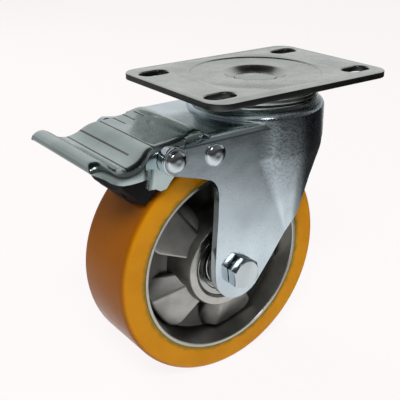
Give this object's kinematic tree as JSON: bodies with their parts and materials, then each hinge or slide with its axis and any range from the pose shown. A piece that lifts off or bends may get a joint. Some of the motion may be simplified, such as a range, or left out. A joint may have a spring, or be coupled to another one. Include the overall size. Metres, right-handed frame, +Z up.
{
  "type": "swivel castor",
  "caption": "Plate-mounted swivel castor with a pressed steel fork, a urethane-tyred aluminium wheel and a foot pedal that locks wheel and swivel.",
  "frame": {"origin": "centre of the top plate's upper face, on the swivel axis", "axes": "+Z up out of the plate's upper face along the swivel axis, +X the way the castor leads, with the wheel trailing towards -X, +Y to its left"},
  "size_m": [0.2192, 0.1105, 0.199],
  "materials": {
    "grey_zinc": "zinc plated, satin, faintly green grey",
    "bright_zinc": "bright zinc plated, semi-gloss, bluish",
    "bearing_steel": "ground and polished steel",
    "spring_steel": "drawn wire",
    "cast_aluminium": "as cast, satin, turned on the hub face and rim lip",
    "amber_urethane": "cast polyurethane, semi-gloss, amber",
    "black_rubber": "moulded, matt black"
  },
  "bodies": {
    "swivel_plate": {"top_plate": "grey_zinc", "upper_race": "grey_zinc", "king_pin": "grey_zinc", "bottom_cup": "bearing_steel", "lock_disc": "grey_zinc", "king_pin_nut": "bright_zinc"},
    "fork_set": {"fork": "bright_zinc", "lower_race": "bearing_steel", "upper_balls": "bearing_steel", "lower_balls": "bearing_steel", "axle_bolt": "bright_zinc", "axle_washer": "bright_zinc", "axle_nut": "bright_zinc", "axle_tube": "bearing_steel", "bearing_spacer": "bearing_steel", "side_bush_near": "grey_zinc", "side_bush_far": "grey_zinc", "bearing_inner_near": "bearing_steel", "bearing_inner_far": "bearing_steel", "pedal_pin": "bright_zinc", "pedal_pin_washers": "bright_zinc", "lever_pin": "bright_zinc", "return_spring": "spring_steel"},
    "wheel": {"tread": "amber_urethane", "wheel_centre": "cast_aluminium", "bearing_outer_near": "bearing_steel", "bearing_outer_far": "bearing_steel", "bearing_balls": "bearing_steel", "bearing_shields": "bearing_steel"},
    "pedal_set": {"pedal": "grey_zinc", "pedal_cam": "grey_zinc"},
    "lever_set": {"brake_lever": "grey_zinc", "brake_block": "black_rubber", "block_rivets": "bright_zinc"}
  },
  "joints": [
    {"name": "swivel", "type": "hinge", "parent": "swivel_plate", "child": "fork_set", "pos_m": [0, 0, 0], "axis": [0, 0, 1], "continuous": true},
    {"name": "wheel_spin", "type": "hinge", "parent": "fork_set", "child": "wheel", "pos_m": [-0.0433, 0, -0.119], "axis": [0, 1, 0], "continuous": true},
    {"name": "pedal_press", "type": "hinge", "parent": "fork_set", "child": "pedal_set", "pos_m": [-0.0925, 0, -0.032], "axis": [0, -1, 0], "range_deg": [0, 20]},
    {"name": "brake_lever_swing", "type": "hinge", "parent": "fork_set", "child": "lever_set", "pos_m": [-0.0635, 0, -0.034], "axis": [0, -1, 0], "range_deg": [0, 2.5]}
  ],
  "couplings": [
    {"joint": "brake_lever_swing", "follows": "pedal_press", "ratio": 0.125}
  ]
}
